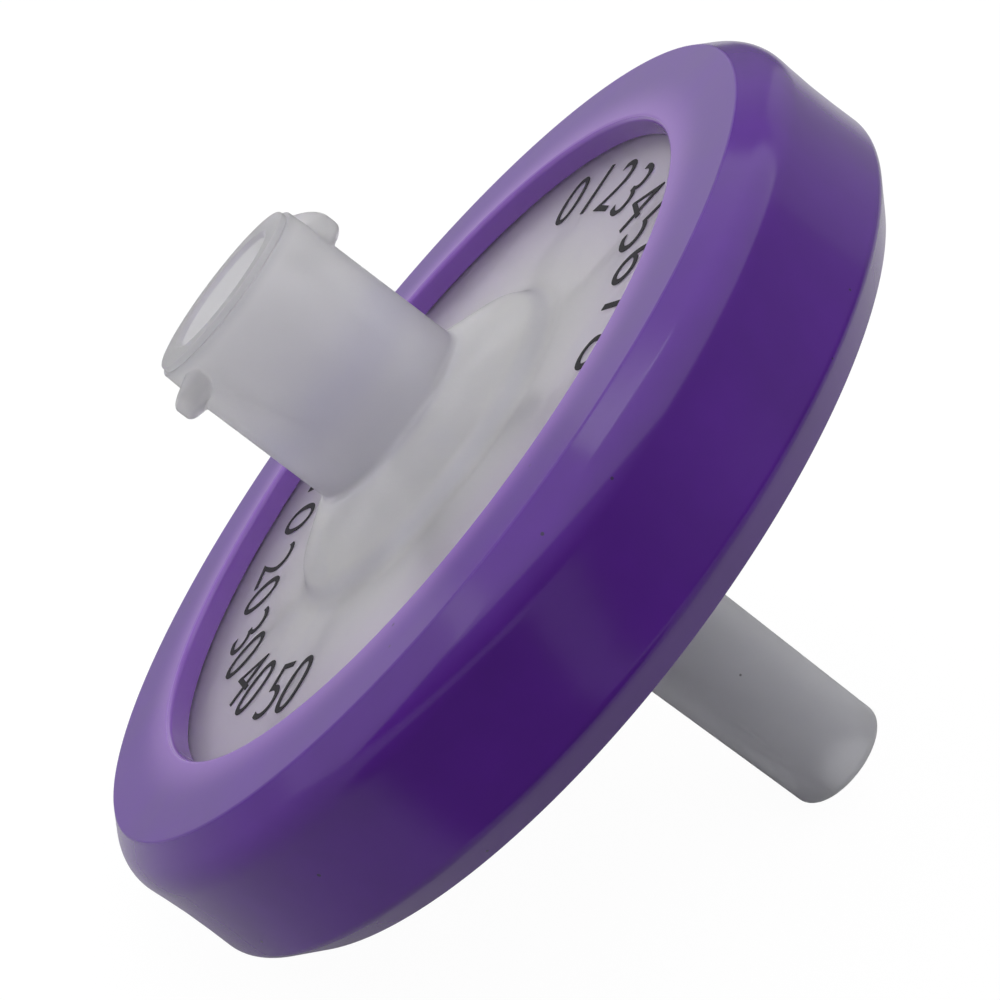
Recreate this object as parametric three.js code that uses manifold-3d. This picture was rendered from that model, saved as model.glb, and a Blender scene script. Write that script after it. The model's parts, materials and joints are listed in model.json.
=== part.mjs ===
// Syringe filter, 33 mm class: two translucent housings clamp a filter membrane, and a coloured ring is
// moulded round their flanges. The inlet is a female luer lock with two helical ears, the outlet a male slip.
//
// Millimetres. Each piece is built round the flow axis, with z = 0 in the middle of the membrane and +z
// towards the inlet. The filter then lies as it comes to rest: on the ring's lower edge and the outlet's tip.
import * as THREE from "three";
import { mergeVertices } from "three/addons/utils/BufferGeometryUtils.js";
import Module from "manifold-3d";

const wasm = await Module();
wasm.setup();

// ---------------------------------------------------------------------------------------------------------
// Driving dimensions

// Flanges of the two housings, and the chamber between them
const flangeDiameter = 30.0;
const weldLandWidth = 1.7; // flange outside the membrane
const clampWidth = 1.0; // flange that holds the membrane's edge
const chamberHalfDepth = 0.91; // from the filter plane to the inner face of each housing
const faceWall = 1.2;
const tongueWidth = 0.6;
const tongueHeight = 0.6;

// Membrane
const membraneThickness = 0.16;

// Overmoulded ring
const ringSideWall = 1.46; // outside the flanges, at the shoulder of the ring's upper half
const ringHeelFlare = 0.08; // how much further out the heel of the lower half stands
const ringLipThickness = 0.82; // how thick the ring lies over and under the flanges
const ringLipReach = 2.48; // how far in it reaches over and under them
const ringTopChamferWidth = 0.98;
const ringTopChamferHeight = 0.95;
const ringBottomChamferWidth = 0.92;
const ringBottomChamferHeight = 1.08;
const ringShoulderFillet = 1.3;
const ringHeelFillet = 0.45;
const ringWaistDepth = 0.08; // how far the side is drawn in between shoulder and heel
const ringWaistRadius = 22;
const ringWindowFillet = 0.2;

// Boss under each port
const bossDiameter = 11.3;
const bossStep = 0.42; // height of the boss's edge over the face
const bossEdgeFillet = 0.28;
const bossCrownHeight = 1.35; // height over the face where the boss meets the port
const bossCrownFillet = 0.3;

// Inlet: female luer lock
const mouthHeight = 7.48; // mouth over the ring's top face
const socketMouthDiameter = 4.3;
const luerTaper = 0.06; // change of diameter per length
const socketLeadIn = 0.15;
const socketFloorWall = 1.86; // between the socket and the chamber
const inletOrificeDiameter = 1.6;
const portWall = 1.1; // round the socket's mouth, under the lead-in
const portDraft = 0.05; // how much the port's radius grows down to its base
const portLeadInWidth = 0.05;
const portLeadInHeight = 1.0;
const portEndFillet = 0.07;
const portLipInset = 0.14; // the lip is a slightly smaller collar on the end of the wall
const portLipHeight = 0.2;
const portLipFillet = 0.06;

// Luer-lock ears on the inlet
const earHeight = 0.62; // over the port's wall
const earRootWidth = 1.0;
const earCrestWidth = 0.3;
const earLead = 5.0; // axial travel per turn of the double-start thread
const earStarts = 2;
const earDepthBelowMouth = 1.44; // ear's middle line, on its marked direction
const earDirection = 20.4; // degrees round the flow axis
const earBefore = 16; // degrees of ear before that direction
const earAfter = 45; // and after it
const earEndLength = 16; // degrees over which an end grows to the full section
const earEndHeight = 0.25; // share of the section's height at the very end, where it lies inside the wall
const earEndWidth = 0.5; // and share of its width there

// Outlet: male luer slip on a hub
const outletLength = 13.3; // tip below the ring's bottom face
const slipTipDiameter = 3.96;
const slipTaper = 0.018; // change of diameter per length
const slipTipFillet = 0.32;
const slipRootFillet = 0.3;
const outletBoreDiameter = 2.1;
const hubLength = 3.4; // from the ring's bottom face to the hub's end
const hubStep = 0.73; // from the slip's root out to the hub's end
const hubDraft = 0.15; // how much the hub's radius grows up to its boss
const hubEndFillet = 0.3;

// Flow ribs inside the chamber
const firstSupportRingDiameter = 5.0; // centre line of the innermost support ring
const supportRingPitch = 2.5;
const supportRingWidth = 0.5;
const supportRingMargin = 0.5; // least room between the outermost ring and the chamber's wall
const drainChannelCount = 8;
const drainChannelWidth = 0.9;
const spreaderRibCount = 8;
const spreaderRibWidth = 0.5;
const spreaderRibHeight = 0.5;
const spreaderInnerDiameter = 4.4;
const spreaderEndGap = 1.1; // from the ribs' outer ends to the chamber's wall

// Clearances between pieces that touch
const mouldGap = 0.04; // ring to housings
const seamGap = 0.04; // housing to housing
const clampGap = 0.02; // membrane to each housing

// Faceting
const ringSegments = 72;
const housingSegments = 48;
const filletSteps = 3;
const earSteps = 14;
const embed = 0.3; // how deep a rib or an ear is sunk into the wall that carries it

// ---------------------------------------------------------------------------------------------------------
// Heights over the filter plane, and radii, worked out from them

const faceHeight = chamberHalfDepth + faceWall; // outer face of each housing
const pocketTop = faceHeight + mouldGap;
const ringTop = pocketTop + ringLipThickness;
const ringBottom = -ringTop;
const seamHeight = seamGap / 2;
const clampHeight = membraneThickness / 2 + clampGap;
const bossEdgeHeight = faceHeight + bossStep;
const bossCrown = faceHeight + bossCrownHeight;
const mouth = ringTop + mouthHeight;
const tip = ringBottom - outletLength;

const flangeRadius = flangeDiameter / 2;
const membraneRadius = flangeRadius - weldLandWidth;
const seatRadius = membraneRadius + clampGap;
const chamberRadius = membraneRadius - clampWidth;
const tongueMiddle = flangeRadius - weldLandWidth / 2;
const bossRadius = bossDiameter / 2;
const socketRadius = socketMouthDiameter / 2;
const portRadius = socketRadius + portWall;

// ---------------------------------------------------------------------------------------------------------
// Outlines: half sections in the (r, z) plane, listed anticlockwise

function corner(radius, height, fillet = 0) {
  return { point: new THREE.Vector2(radius, height), fillet };
}

// The arc that rounds one corner, kept within half of each neighbouring edge.
function filletArc(previous, { point, fillet }, next) {
  const toPrevious = previous.point.clone().sub(point);
  const toNext = next.point.clone().sub(point);
  const room = Math.min(toPrevious.length(), toNext.length()) / 2;
  const halfAngle = toPrevious.angleTo(toNext) / 2;
  const tangent = Math.min(fillet / Math.tan(halfAngle), room);
  const radius = tangent * Math.tan(halfAngle);
  toPrevious.normalize();
  toNext.normalize();
  const bisector = toPrevious.clone().add(toNext).normalize();
  const centre = bisector.multiplyScalar(Math.hypot(tangent, radius)).add(point);
  const start = toPrevious.clone().multiplyScalar(tangent).add(point).sub(centre);
  const end = toNext.clone().multiplyScalar(tangent).add(point).sub(centre);
  const clockwise = start.cross(end) < 0;
  const arc = new THREE.ArcCurve(centre.x, centre.y, radius, start.angle(), end.angle(), clockwise);
  return arc.getPoints(filletSteps);
}

function closedOutline(corners) {
  const points = corners.flatMap((current, i) => {
    const previous = corners.at(i - 1);
    const next = corners[(i + 1) % corners.length];
    return current.fillet > 0 ? filletArc(previous, current, next) : [current.point.clone()];
  });
  points.push(points[0].clone());
  return points;
}

function ringOutline() {
  const pocket = flangeRadius + mouldGap;
  const window = pocket - ringLipReach;
  const shoulder = pocket + ringSideWall;
  const heel = shoulder + ringHeelFlare;
  const shoulderHeight = ringTop - ringTopChamferHeight;
  const heelHeight = ringBottom + ringBottomChamferHeight;
  return closedOutline([
    corner(window, ringBottom, ringWindowFillet),
    corner(heel - ringBottomChamferWidth, ringBottom),
    corner(heel, heelHeight, ringHeelFillet),
    corner((shoulder + heel) / 2 - ringWaistDepth, (shoulderHeight + heelHeight) / 2, ringWaistRadius),
    corner(shoulder, shoulderHeight, ringShoulderFillet),
    corner(shoulder - ringTopChamferWidth, ringTop),
    corner(window, ringTop, ringWindowFillet),
    corner(window, pocketTop),
    corner(pocket, pocketTop),
    corner(pocket, -pocketTop),
    corner(window, -pocketTop),
  ]);
}

function inletOutline() {
  const tongueInside = tongueMiddle - tongueWidth / 2;
  const tongueOutside = tongueMiddle + tongueWidth / 2;
  const leadIn = portRadius - portLeadInWidth;
  const lip = leadIn - portLipInset;
  const wallEnd = mouth - portLipHeight;
  const socketFloor = chamberHalfDepth + socketFloorWall;
  const socketEnd = socketRadius - (luerTaper * (mouth - socketFloor)) / 2;
  const orifice = inletOrificeDiameter / 2;
  return closedOutline([
    corner(orifice, chamberHalfDepth),
    corner(chamberRadius, chamberHalfDepth),
    corner(chamberRadius, clampHeight),
    corner(seatRadius, clampHeight),
    corner(seatRadius, seamHeight),
    corner(tongueInside, seamHeight),
    corner(tongueInside, seamHeight - tongueHeight),
    corner(tongueOutside, seamHeight - tongueHeight),
    corner(tongueOutside, seamHeight),
    corner(flangeRadius, seamHeight),
    corner(flangeRadius, faceHeight),
    corner(bossRadius, faceHeight),
    corner(bossRadius, bossEdgeHeight, bossEdgeFillet),
    corner(portRadius + portDraft, bossCrown, bossCrownFillet),
    corner(portRadius, wallEnd - portLeadInHeight),
    corner(leadIn, wallEnd, portEndFillet),
    corner(lip, wallEnd),
    corner(lip, mouth, portLipFillet),
    corner(socketRadius + socketLeadIn, mouth),
    corner(socketRadius, mouth - socketLeadIn),
    corner(socketEnd, socketFloor),
    corner(orifice, socketFloor),
  ]);
}

function outletOutline() {
  const grooveInside = tongueMiddle - tongueWidth / 2 - seamGap;
  const grooveOutside = tongueMiddle + tongueWidth / 2 + seamGap;
  const grooveBottom = -seamHeight - tongueHeight - seamGap;
  const hubEnd = ringBottom - hubLength;
  const slipTip = slipTipDiameter / 2;
  const slipRoot = slipTip + (slipTaper * (hubEnd - tip)) / 2;
  const hub = slipRoot + hubStep;
  const bore = outletBoreDiameter / 2;
  return closedOutline([
    corner(bore, tip),
    corner(slipTip, tip, slipTipFillet),
    corner(slipRoot, hubEnd, slipRootFillet),
    corner(hub, hubEnd, hubEndFillet),
    corner(hub + hubDraft, -bossCrown, bossCrownFillet),
    corner(bossRadius, -bossEdgeHeight, bossEdgeFillet),
    corner(bossRadius, -faceHeight),
    corner(flangeRadius, -faceHeight),
    corner(flangeRadius, -seamHeight),
    corner(grooveOutside, -seamHeight),
    corner(grooveOutside, grooveBottom),
    corner(grooveInside, grooveBottom),
    corner(grooveInside, -seamHeight),
    corner(seatRadius, -seamHeight),
    corner(seatRadius, -clampHeight),
    corner(chamberRadius, -clampHeight),
    corner(chamberRadius, -chamberHalfDepth),
    corner(bore, -chamberHalfDepth),
  ]);
}

// ---------------------------------------------------------------------------------------------------------
// Solids

// Turns an outline round the z axis, with the middle of a facet on +x and on -x.
function revolve(outline, segments) {
  const geometry = new THREE.LatheGeometry(outline, segments, Math.PI / segments);
  return geometry.rotateX(Math.PI / 2);
}

function toSolid(geometry) {
  const bare = geometry.clone();
  bare.deleteAttribute("normal");
  bare.deleteAttribute("uv");
  const merged = mergeVertices(bare, 1e-5);
  const vertProperties = new Float32Array(merged.attributes.position.array);
  const triVerts = new Uint32Array(merged.index.array);
  return new wasm.Manifold(new wasm.Mesh({ numProp: 3, vertProperties, triVerts }));
}

function toMesh(name, solid, material) {
  const { vertProperties, triVerts } = solid.getMesh();
  const geometry = new THREE.BufferGeometry();
  geometry.setAttribute("position", new THREE.BufferAttribute(vertProperties, 3));
  geometry.setIndex(new THREE.BufferAttribute(triVerts, 1));
  const mesh = new THREE.Mesh(geometry, material);
  mesh.name = name;
  return mesh;
}

// One ear: its section drawn straight, then wrapped round the port on the thread's helix.
function ear(startAngle) {
  const base = portRadius - embed;
  const crest = portRadius + earHeight;
  const section = new THREE.Shape();
  section.moveTo(base, -earRootWidth / 2);
  section.quadraticCurveTo(crest, -earRootWidth / 2, crest, -earCrestWidth / 2);
  section.lineTo(crest, earCrestWidth / 2);
  section.quadraticCurveTo(crest, earRootWidth / 2, base, earRootWidth / 2);
  const options = { depth: 1, steps: earSteps, bevelEnabled: false, curveSegments: filletSteps + 1 };
  const geometry = new THREE.ExtrudeGeometry(section, options);
  const position = geometry.attributes.position;
  const span = earBefore + earAfter;
  for (let i = 0; i < position.count; i += 1) {
    const along = (1 - position.getZ(i)) * span; // counted backwards, which keeps the faces pointing out
    const nearestEnd = Math.min(along, span - along);
    const rise = Math.sin(Math.min(nearestEnd / earEndLength, 1) * (Math.PI / 2));
    const radius = base + (position.getX(i) - base) * (earEndHeight + (1 - earEndHeight) * rise);
    const offset = position.getY(i) * (earEndWidth + (1 - earEndWidth) * rise);
    const height = mouth - earDepthBelowMouth + offset + ((along - earBefore) / 360) * earLead;
    const angle = THREE.MathUtils.degToRad(startAngle + earDirection - earBefore + along);
    position.setXYZ(i, radius * Math.cos(angle), radius * Math.sin(angle), height);
  }
  return toSolid(geometry);
}

function inletHousing() {
  let housing = toSolid(revolve(inletOutline(), housingSegments));
  for (let i = 0; i < earStarts; i += 1) {
    housing = housing.add(ear((i * 360) / earStarts));
  }
  const ribStart = spreaderInnerDiameter / 2;
  const ribLength = chamberRadius - spreaderEndGap - ribStart;
  const ribMiddle = chamberHalfDepth - (spreaderRibHeight - embed) / 2;
  for (let i = 0; i < spreaderRibCount; i += 1) {
    const rib = new THREE.BoxGeometry(ribLength, spreaderRibWidth, spreaderRibHeight + embed);
    rib.translate(ribStart + ribLength / 2, 0, ribMiddle);
    rib.rotateZ((i * 2 * Math.PI) / spreaderRibCount);
    housing = housing.add(toSolid(rib));
  }
  return housing;
}

// The rings that hold the membrane up against the flow, cut by channels that drain to the bore.
function supportRings() {
  const top = -clampHeight;
  const bottom = -chamberHalfDepth - embed;
  const room = chamberRadius - supportRingMargin - supportRingWidth / 2;
  const rings = [];
  for (let middle = firstSupportRingDiameter / 2; middle <= room; middle += supportRingPitch) {
    const inner = middle - supportRingWidth / 2;
    const outer = middle + supportRingWidth / 2;
    const section = [corner(inner, bottom), corner(outer, bottom), corner(outer, top), corner(inner, top)];
    rings.push(toSolid(revolve(closedOutline(section), housingSegments)));
  }
  const channels = Array.from({ length: drainChannelCount / 2 }, (_, i) => {
    const channel = new THREE.BoxGeometry(2 * chamberRadius, drainChannelWidth, 2 * chamberHalfDepth);
    channel.rotateZ(((i + 0.5) * 2 * Math.PI) / drainChannelCount);
    return toSolid(channel);
  });
  return wasm.Manifold.difference([wasm.Manifold.union(rings), ...channels]);
}

function outletHousing() {
  return toSolid(revolve(outletOutline(), housingSegments)).add(supportRings());
}

function filterMembrane() {
  const section = [
    new THREE.Vector2(0, -membraneThickness / 2),
    new THREE.Vector2(membraneRadius, -membraneThickness / 2),
    new THREE.Vector2(membraneRadius, membraneThickness / 2),
    new THREE.Vector2(0, membraneThickness / 2),
  ];
  return toSolid(revolve(section, housingSegments));
}

// ---------------------------------------------------------------------------------------------------------
// Rest: the slope of the longest straight line that touches the half sections from below

function restingSlope(outlines) {
  const points = outlines.flat();
  const isLower = (a, b) => a.y < b.y || (a.y === b.y && a.x > b.x);
  let from = points.reduce((best, p) => (isLower(p, best) ? p : best));
  let longest = new THREE.Vector2();
  for (;;) {
    const outer = points.filter((p) => p.x > from.x + 1e-6);
    if (outer.length === 0) break;
    const edges = outer.map((p) => p.clone().sub(from));
    const lowest = edges.reduce((best, edge) => (edge.angle() < best.angle() ? edge : best));
    if (lowest.length() > longest.length()) longest = lowest;
    from = from.clone().add(lowest);
    if (lowest.angle() > Math.PI / 2 - 1e-6) break;
  }
  return longest.angle();
}

// ---------------------------------------------------------------------------------------------------------
// Assembly

const naturalPolypropylene = new THREE.MeshStandardMaterial({ color: 0xc3c1c8, roughness: 0.4 });
const purpleOvermould = new THREE.MeshStandardMaterial({ color: 0x55318a, roughness: 0.25 });
const whiteMembrane = new THREE.MeshStandardMaterial({ color: 0xefeeec, roughness: 0.8 });

const filter = new THREE.Group();
filter.add(
  toMesh("inlet_housing", inletHousing(), naturalPolypropylene),
  toMesh("outlet_housing", outletHousing(), naturalPolypropylene),
  toMesh("filter_membrane", filterMembrane(), whiteMembrane),
  toMesh("overmould_ring", toSolid(revolve(ringOutline(), ringSegments)), purpleOvermould),
);
filter.rotation.y = -restingSlope([ringOutline(), outletOutline()]);

// The origin is under the middle of the lying filter, on the surface it lies on.
const extent = new THREE.Box3().setFromObject(filter, true);
const middle = extent.getCenter(new THREE.Vector3());
filter.position.set(-middle.x, -middle.y, -extent.min.z);

const syringeFilter = new THREE.Group();
syringeFilter.add(filter);

export default syringeFilter;
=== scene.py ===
"""Looks of a syringe filter: two translucent housings round a membrane, clamped by a purple moulded ring.

Each piece is drawn in millimetres round the flow axis, with z = 0 in the middle of the membrane and +z
towards the inlet, and is then laid into the row frame, in metres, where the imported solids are.
"""

import json
import logging
import math
from dataclasses import dataclass, field
from enum import Enum
from typing import Callable, Sequence

import bpy
from mathutils import Matrix, Vector


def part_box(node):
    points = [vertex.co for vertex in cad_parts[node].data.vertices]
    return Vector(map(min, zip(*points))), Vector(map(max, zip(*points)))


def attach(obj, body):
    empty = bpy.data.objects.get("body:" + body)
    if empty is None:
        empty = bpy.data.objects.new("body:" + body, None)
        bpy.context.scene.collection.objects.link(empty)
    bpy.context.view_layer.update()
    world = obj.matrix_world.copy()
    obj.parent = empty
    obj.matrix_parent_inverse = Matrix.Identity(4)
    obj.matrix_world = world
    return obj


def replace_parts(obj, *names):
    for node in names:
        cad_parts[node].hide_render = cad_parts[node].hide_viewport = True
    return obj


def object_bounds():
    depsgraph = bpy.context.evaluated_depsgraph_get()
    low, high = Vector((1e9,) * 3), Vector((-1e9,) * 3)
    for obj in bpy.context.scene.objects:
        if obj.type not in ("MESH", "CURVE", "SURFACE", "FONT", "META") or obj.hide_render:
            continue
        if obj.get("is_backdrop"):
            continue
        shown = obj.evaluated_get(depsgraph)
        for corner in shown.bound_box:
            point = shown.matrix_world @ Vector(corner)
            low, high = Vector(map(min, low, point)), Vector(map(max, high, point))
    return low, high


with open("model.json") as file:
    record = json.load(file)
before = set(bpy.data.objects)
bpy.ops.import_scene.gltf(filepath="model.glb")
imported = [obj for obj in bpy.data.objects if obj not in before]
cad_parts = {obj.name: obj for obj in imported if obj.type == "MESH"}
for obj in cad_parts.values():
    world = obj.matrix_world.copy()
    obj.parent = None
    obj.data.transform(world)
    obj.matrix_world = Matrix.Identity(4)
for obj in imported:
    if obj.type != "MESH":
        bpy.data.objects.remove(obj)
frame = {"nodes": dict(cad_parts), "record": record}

LOG = logging.getLogger("syringe_filter")
MM = 0.001
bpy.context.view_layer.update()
BODY = "root"
SHARP_ANGLE = math.radians(50)
BUMP_DEPTH = 0.02 * MM
WHITE = (1.0, 1.0, 1.0, 1.0)


class Slot(Enum):
    """Material slots of the record that the pieces take their finish from."""

    NATURAL = "natural_polypropylene"
    OVERMOULD = "purple_overmould"


# ---------------------------------------------------------------------------------------------------------
# The frame that the pieces are drawn in


@dataclass(frozen=True)
class FlowFrame:
    """Where the flow axis lies in the row frame.

    Attributes:
        origin: Middle of the membrane, in metres.
        axis: Unit vector along the flow axis, towards the inlet.
    """

    origin: Vector
    axis: Vector

    @classmethod
    def from_solids(cls) -> "FlowFrame":
        """Reads the axis from the inlet's mount, and the origin from the membrane's box.

        Returns:
            The frame of the filter as it lies.
        """
        low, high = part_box("filter_membrane")
        return cls((low + high) / 2, cls.mount("inlet_mouth")["axis_vector"])

    @staticmethod
    def mount(name: str) -> dict:
        """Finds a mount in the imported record.

        Args:
            name: The mount's name.

        Returns:
            The mount, with its point and axis added as vectors.
        """
        found = next(m for m in frame["record"]["mounts"] if m["name"] == name)
        return {**found, "point": Vector(found["pos_m"]), "axis_vector": Vector(found["axis"]).normalized()}

    def height_of(self, mount_name: str) -> float:
        """Height of a mount over the membrane, in millimetres."""
        return (self.mount(mount_name)["point"] - self.origin).dot(self.axis) / MM

    def matrix(self) -> Matrix:
        """Works out how the drawing is laid into the row frame.

        Returns:
            The matrix that takes a point from the drawing, in millimetres, to the row frame, in metres.
        """
        level = Vector((0, 1, 0))
        across = level.cross(self.axis)
        turn = Matrix((across, level, self.axis)).transposed().to_4x4()
        return Matrix.Translation(self.origin) @ turn @ Matrix.Scale(MM, 4)


# ---------------------------------------------------------------------------------------------------------
# Outlines: half sections in the (r, z) plane


@dataclass(frozen=True)
class Corner:
    """One corner of a half section.

    Attributes:
        r: Distance from the flow axis, in millimetres.
        z: Height over the membrane, in millimetres.
        fillet: Radius that rounds the corner, in millimetres.
    """

    r: float
    z: float
    fillet: float = 0.0

    def point(self) -> Vector:
        """The corner as a plain vector."""
        return Vector((self.r, self.z))


@dataclass(frozen=True)
class Outline:
    """A closed half section with rounded corners, listed anticlockwise.

    Attributes:
        corners: The corners, in order.
        arc_step: Largest turn between two points of a fillet, in degrees.
        edge_support: Length of the short stretch kept beside each corner, so that flats shade flat.
        longest: Longest stretch between two points.
    """

    corners: Sequence[Corner]
    arc_step: float = 9.0
    edge_support: float = 0.05
    longest: float = 1.2

    def arc(self, before: Vector, corner: Corner, after: Vector) -> list[Vector]:
        """Points of one rounded corner, kept within half of each neighbouring edge.

        Args:
            before: The corner before it.
            corner: The corner.
            after: The corner after it.

        Returns:
            The points in order, or the corner alone where it is sharp.
        """
        point = corner.point()
        back, ahead = before - point, after - point
        if corner.fillet <= 0:
            return [point]
        half = back.angle(ahead) / 2
        tangent = min(corner.fillet / math.tan(half), back.length / 2, ahead.length / 2)
        radius = tangent * math.tan(half)
        back.normalize()
        ahead.normalize()
        centre = point + (back + ahead).normalized() * math.hypot(tangent, radius)
        start = point + back * tangent - centre
        turn = math.pi - 2 * half
        if start.x * ahead.y - start.y * ahead.x < 0:
            turn = -turn
        steps = max(2, math.ceil(abs(math.degrees(turn)) / self.arc_step))
        heading = math.atan2(start.y, start.x)
        angles = (heading + turn * i / steps for i in range(steps + 1))
        return [centre + Vector((math.cos(a), math.sin(a))) * radius for a in angles]

    def stretch(self, start: Vector, end: Vector) -> list[Vector]:
        """Points between two ends of a straight stretch, both ends left out.

        Args:
            start: One end.
            end: The other end.

        Returns:
            The points in order, none where the stretch is short.
        """
        length = (end - start).length
        if length < 4 * self.edge_support:
            return []
        steps = max(1, math.ceil((length - 2 * self.edge_support) / self.longest))
        first, last = self.edge_support / length, 1 - self.edge_support / length
        return [start.lerp(end, first + (last - first) * i / steps) for i in range(steps + 1)]

    def points(self) -> list[Vector]:
        """Works out the whole outline.

        Returns:
            Its points, without the first one again at the end.
        """
        count = len(self.corners)
        arcs = [
            self.arc(self.corners[i - 1].point(), self.corners[i], self.corners[(i + 1) % count].point())
            for i in range(count)
        ]
        found: list[Vector] = []
        for i, arc in enumerate(arcs):
            found += arc + self.stretch(arc[-1], arcs[(i + 1) % count][0])
        return found


def refined(points: Sequence[Vector], inside: Callable[[Vector], bool], step: float) -> list[Vector]:
    """Divides the stretches of an outline that lie in a region.

    Args:
        points: The outline.
        inside: Tells whether a point is in the region.
        step: Longest stretch there, in millimetres.

    Returns:
        The outline with the points added.
    """
    found = []
    for i, start in enumerate(points):
        end = points[(i + 1) % len(points)]
        found.append(start)
        if inside(start) and inside(end):
            steps = max(1, math.ceil((end - start).length / step))
            found += [start.lerp(end, k / steps) for k in range(1, steps)]
    return found


# ---------------------------------------------------------------------------------------------------------
# Node trees


@dataclass(frozen=True)
class Field:
    """A value in a node tree. Its arithmetic adds Math nodes to the tree."""

    tree: "NodeTree"
    socket: bpy.types.NodeSocket

    def __add__(self, other: "Field | float") -> "Field":
        """The sum of two values."""
        return self.tree.math("ADD", self, other)

    def __sub__(self, other: "Field | float") -> "Field":
        """The difference of two values."""
        return self.tree.math("SUBTRACT", self, other)

    def __mul__(self, other: "Field | float") -> "Field":
        """The product of two values."""
        return self.tree.math("MULTIPLY", self, other)

    def __truediv__(self, other: "Field | float") -> "Field":
        """The quotient of two values."""
        return self.tree.math("DIVIDE", self, other)

    def at_least(self, other: "Field | float") -> "Field":
        """The larger of two values."""
        return self.tree.math("MAXIMUM", self, other)

    def at_most(self, other: "Field | float") -> "Field":
        """The smaller of two values."""
        return self.tree.math("MINIMUM", self, other)

    def below(self, other: "Field | float") -> "Field":
        """1 where this value is below the other, and 0 elsewhere."""
        return self.tree.math("LESS_THAN", self, other)

    def above(self, other: "Field | float") -> "Field":
        """1 where this value is above the other, and 0 elsewhere."""
        return self.tree.math("GREATER_THAN", self, other)


class NodeTree:
    """Short calls that build a shader or geometry node tree."""

    def __init__(self, tree: bpy.types.NodeTree) -> None:
        """Keeps the tree that the calls add to."""
        self.tree = tree

    def node(self, kind: str, settings: dict | None = None, **inputs: object) -> bpy.types.Node:
        """Adds a node.

        Args:
            kind: The node's type name.
            settings: Its properties.
            **inputs: Values, fields or sockets for its inputs, with _ for a space in a name.

        Returns:
            The node.
        """
        node = self.tree.nodes.new(kind)
        for name, value in (settings or {}).items():
            setattr(node, name, value)
        for name, value in inputs.items():
            self.feed(node.inputs[name.replace("_", " ")], value)
        return node

    def feed(self, socket: bpy.types.NodeSocket, value: object) -> None:
        """Gives an input its value.

        Args:
            socket: The input.
            value: A field, an output or a constant.
        """
        source = value.socket if isinstance(value, Field) else value
        if isinstance(source, bpy.types.NodeSocket):
            self.tree.links.new(source, socket)
        else:
            socket.default_value = source

    def math(self, operation: str, *values: Field | float) -> Field:
        """Adds a Math node.

        Args:
            operation: The node's operation.
            *values: Its inputs, in order.

        Returns:
            Its result.
        """
        node = self.node("ShaderNodeMath", {"operation": operation})
        for socket, value in zip(node.inputs, values):
            self.feed(socket, value)
        return Field(self, node.outputs[0])

    def vector(self, operation: str, *values: object, result: str = "Vector") -> bpy.types.NodeSocket:
        """Adds a Vector Math node.

        Args:
            operation: The node's operation.
            *values: Its inputs, in order.
            result: Name of the output that is wanted.

        Returns:
            That output.
        """
        node = self.node("ShaderNodeVectorMath", {"operation": operation})
        for socket, value in zip(node.inputs, values):
            self.feed(socket, value)
        return node.outputs[result]

    def blend(self, factor: Field, first: object, second: object) -> bpy.types.NodeSocket:
        """Mixes two colours.

        Args:
            factor: Share of the second colour.
            first: The first colour.
            second: The second colour.

        Returns:
            The mix.
        """
        node = self.node("ShaderNodeMix", {"data_type": "RGBA"})
        for socket, value in zip((node.inputs[0], node.inputs[6], node.inputs[7]), (factor, first, second)):
            self.feed(socket, value)
        return node.outputs[2]


class ShapeTree(NodeTree):
    """A geometry node tree with named inputs, which ends in Realize Instances and Set Material."""

    def __init__(self, name: str) -> None:
        """Starts a tree with an input for its geometry and one for its material.

        Args:
            name: Name of the tree.
        """
        super().__init__(bpy.data.node_groups.new(name, "GeometryNodeTree"))
        self.tree.is_modifier = True
        self.identifiers: dict[str, str] = {}
        self.entry = self.tree.nodes.new("NodeGroupInput")
        self.named("Section", "NodeSocketGeometry")
        self.named("Finish", "NodeSocketMaterial")

    def named(self, name: str, kind: str = "NodeSocketFloat") -> Field:
        """Adds a named input.

        Args:
            name: Its name.
            kind: Its socket's type.

        Returns:
            Its value.
        """
        item = self.tree.interface.new_socket(name, in_out="INPUT", socket_type=kind)
        self.identifiers[name] = item.identifier
        return Field(self, self.entry.outputs[name])

    def close(self, geometry: bpy.types.NodeSocket) -> None:
        """Ends the tree: instances are made real and get the finish.

        Args:
            geometry: What the tree has made.
        """
        self.tree.interface.new_socket("Geometry", in_out="OUTPUT", socket_type="NodeSocketGeometry")
        real = self.node("GeometryNodeRealizeInstances", Geometry=geometry)
        dressed = self.node(
            "GeometryNodeSetMaterial", Geometry=real.outputs[0], Material=self.entry.outputs["Finish"]
        )
        end = self.tree.nodes.new("NodeGroupOutput")
        self.tree.links.new(dressed.outputs[0], end.inputs[0])

    def grow(self, name: str, seed: bpy.types.Mesh, values: dict[str, object]) -> bpy.types.Mesh:
        """Runs the tree on a mesh.

        Args:
            name: Name of the result.
            seed: The mesh that the tree starts from.
            values: A value for each named input.

        Returns:
            The result, as a plain mesh.
        """
        carrier = bpy.data.objects.new(name, seed)
        bpy.context.scene.collection.objects.link(carrier)
        modifier = carrier.modifiers.new(name, "NODES")
        modifier.node_group = self.tree
        for key, value in values.items():
            modifier[self.identifiers[key]] = value
        graph = bpy.context.evaluated_depsgraph_get()
        grown = bpy.data.meshes.new_from_object(carrier.evaluated_get(graph))
        bpy.data.objects.remove(carrier)
        bpy.data.meshes.remove(seed)
        grown.name = name
        return grown


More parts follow.
